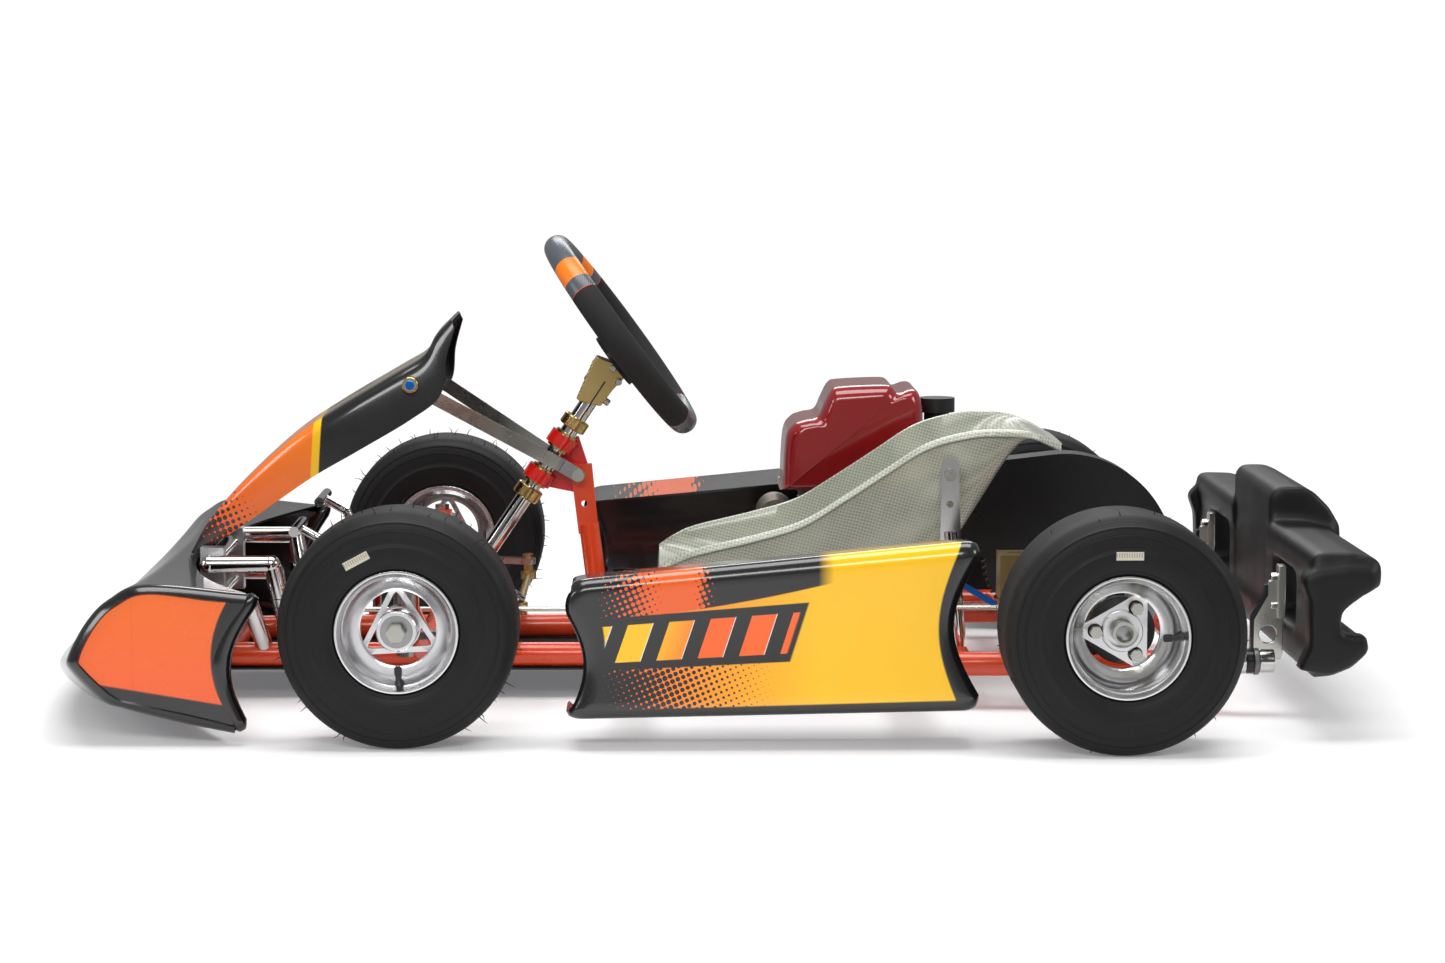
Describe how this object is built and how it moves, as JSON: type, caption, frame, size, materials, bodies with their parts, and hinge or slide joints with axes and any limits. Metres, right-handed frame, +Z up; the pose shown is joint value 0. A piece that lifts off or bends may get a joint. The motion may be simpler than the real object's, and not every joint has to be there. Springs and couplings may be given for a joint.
{
  "type": "kart chassis",
  "caption": "Complete small racing kart: tube frame, bodywork, bucket seat, steering with tie rods, four wheels, chain-driven rear axle, disc brake and engine.",
  "frame": {"origin": "on the ground under the middle of the kart, halfway between the nose tip and the rear bumper", "axes": "-X is forwards, +Y is the kart's right-hand side, +Z is up; the tyres stand on Z = 0"},
  "size_m": [1.482, 0.985, 0.535],
  "materials": {
    "frame_orange": "gloss powder coat",
    "chrome": "polished",
    "zinc": "satin zinc plate",
    "steel": "machined",
    "red_paint": "gloss",
    "brass": "satin",
    "gold_anodised": "anodised",
    "aluminium": "satin",
    "polished_wheel": "polished",
    "tray_black": "matte",
    "nose_orange": "gloss with black and grey trim",
    "panel_orange": "gloss with black and yellow trim",
    "pod_yellow": "gloss with orange halftone and black ends",
    "seat_fibreglass": "clear resin over woven glass",
    "bumper_black": "matte moulded",
    "guard_black": "satin",
    "carrier_black": "satin",
    "engine_red": "gloss",
    "engine_metal": "cast",
    "cap_black": "matte",
    "muffler_metal": "satin",
    "chain_blue": "anodised links",
    "wheel_carbon": "carbon weave, orange bands and black suede sides",
    "spoke_black": "satin",
    "tyre": "matte",
    "disc_steel": "ground"
  },
  "bodies": {
    "chassis": {"left_frame_rail": "frame_orange", "right_frame_rail": "frame_orange", "frame_cross_tubes": "frame_orange", "steering_yokes": "frame_orange", "kingpins": "zinc", "column_upright": "frame_orange", "column_bracket": "red_paint", "column_bushes": "brass", "floor_tray": "tray_black", "front_bumper_bars": "chrome", "nose_fairing": "nose_orange", "nose_clamps": "aluminium", "front_panel": "panel_orange", "panel_struts": "zinc", "body_bolts": "zinc", "left_side_pod": "pod_yellow", "right_side_pod": "pod_yellow", "side_pod_bars": "chrome", "seat": "seat_fibreglass", "seat_stays": "chrome", "rear_bumper": "bumper_black", "rear_bumper_brackets": "zinc", "bearing_carriers": "carrier_black", "axle_bearings": "steel", "brake_caliper": "gold_anodised", "engine_plate": "aluminium", "engine_block": "engine_metal", "engine_cover": "engine_red", "fuel_cap": "cap_black", "exhaust_muffler": "muffler_metal", "chain_guard": "guard_black", "drive_chain": "chain_blue", "pedal_mounts": "frame_orange"},
    "steering": {"steering_column": "chrome", "steering_boss": "gold_anodised", "wheel_spoke_plate": "spoke_black", "wheel_rim": "wheel_carbon"},
    "left_knuckle": {"left_stub_axle": "zinc"},
    "right_knuckle": {"right_stub_axle": "zinc"},
    "left_link": {"left_tie_rod": "gold_anodised"},
    "right_link": {"right_tie_rod": "gold_anodised"},
    "left_front_wheel": {"left_front_rim": "polished_wheel", "left_front_tyre": "tyre", "left_front_bearings": "steel"},
    "right_front_wheel": {"right_front_rim": "polished_wheel", "right_front_tyre": "tyre", "right_front_bearings": "steel"},
    "rear_wheels": {"rear_axle": "zinc", "rear_hubs": "gold_anodised", "rear_rims": "polished_wheel", "rear_tyres": "tyre", "axle_sprocket": "carrier_black", "brake_disc": "disc_steel", "rear_wheel_bolts": "zinc"},
    "clutch": {"clutch_drum": "steel"},
    "brake_pedal": {"brake_pedal": "chrome"},
    "brake_rod": {"brake_rod": "zinc"},
    "caliper_lever": {"caliper_lever": "zinc"},
    "throttle_pedal": {"throttle_pedal": "chrome"}
  },
  "joints": [
    {"name": "steering_turn", "type": "hinge", "parent": "chassis", "child": "steering", "pos_m": [-0.3172, 0, 0.065], "axis": [0.5615, 0, 0.8275], "range_deg": [-34, 34]},
    {"name": "left_knuckle_turn", "type": "hinge", "parent": "chassis", "child": "left_knuckle", "pos_m": [-0.33, -0.315, 0.129], "axis": [0, 0, 1], "range_deg": [-18.23, 18.23]},
    {"name": "left_tie_rod_turn", "type": "hinge", "parent": "left_knuckle", "child": "left_link", "pos_m": [-0.218, -0.28, 0.08781], "axis": [0, 0, 1], "range_deg": [-18.23, 18.23]},
    {"name": "left_front_wheel_spin", "type": "hinge", "parent": "left_knuckle", "child": "left_front_wheel", "pos_m": [-0.33, -0.39, 0.129], "axis": [0, 1, 0], "continuous": true},
    {"name": "right_knuckle_turn", "type": "hinge", "parent": "chassis", "child": "right_knuckle", "pos_m": [-0.33, 0.315, 0.129], "axis": [0, 0, 1], "range_deg": [-18.23, 18.23]},
    {"name": "right_tie_rod_turn", "type": "hinge", "parent": "right_knuckle", "child": "right_link", "pos_m": [-0.218, 0.28, 0.08781], "axis": [0, 0, 1], "range_deg": [-18.23, 18.23]},
    {"name": "right_front_wheel_spin", "type": "hinge", "parent": "right_knuckle", "child": "right_front_wheel", "pos_m": [-0.33, 0.39, 0.129], "axis": [0, 1, 0], "continuous": true},
    {"name": "rear_axle_spin", "type": "hinge", "parent": "chassis", "child": "rear_wheels", "pos_m": [0.445, 0, 0.129], "axis": [0, 1, 0], "continuous": true},
    {"name": "clutch_spin", "type": "hinge", "parent": "chassis", "child": "clutch", "pos_m": [0.21, 0.15, 0.179], "axis": [0, 1, 0], "continuous": true},
    {"name": "brake_pedal_press", "type": "hinge", "parent": "chassis", "child": "brake_pedal", "pos_m": [-0.4, -0.14, 0.052], "axis": [0, 1, 0], "range_deg": [-15, 0], "stiffness_Nm_per_rad": 3, "springref_deg": 17.19},
    {"name": "brake_rod_slide", "type": "slide", "parent": "chassis", "child": "brake_rod", "axis": [1, 0, 0], "range_m": [-0.0158, 0]},
    {"name": "caliper_lever_turn", "type": "hinge", "parent": "chassis", "child": "caliper_lever", "pos_m": [0.352, -0.138, 0.15], "axis": [0, 1, 0], "range_deg": [0, 22.5]},
    {"name": "throttle_pedal_press", "type": "hinge", "parent": "chassis", "child": "throttle_pedal", "pos_m": [-0.4, 0.14, 0.052], "axis": [0, 1, 0], "range_deg": [-15, 0], "stiffness_Nm_per_rad": 3, "springref_deg": 17.19}
  ],
  "couplings": [
    {"joint": "left_knuckle_turn", "follows": "steering_turn", "ratio": 0.5357},
    {"joint": "left_tie_rod_turn", "follows": "steering_turn", "ratio": -0.5357},
    {"joint": "right_knuckle_turn", "follows": "steering_turn", "ratio": 0.5357},
    {"joint": "right_tie_rod_turn", "follows": "steering_turn", "ratio": -0.5357},
    {"joint": "clutch_spin", "follows": "rear_axle_spin", "ratio": 6.7273},
    {"joint": "brake_rod_slide", "follows": "brake_pedal_press", "m_per_rad": 0.058},
    {"joint": "caliper_lever_turn", "follows": "brake_pedal_press", "ratio": -1.45}
  ]
}
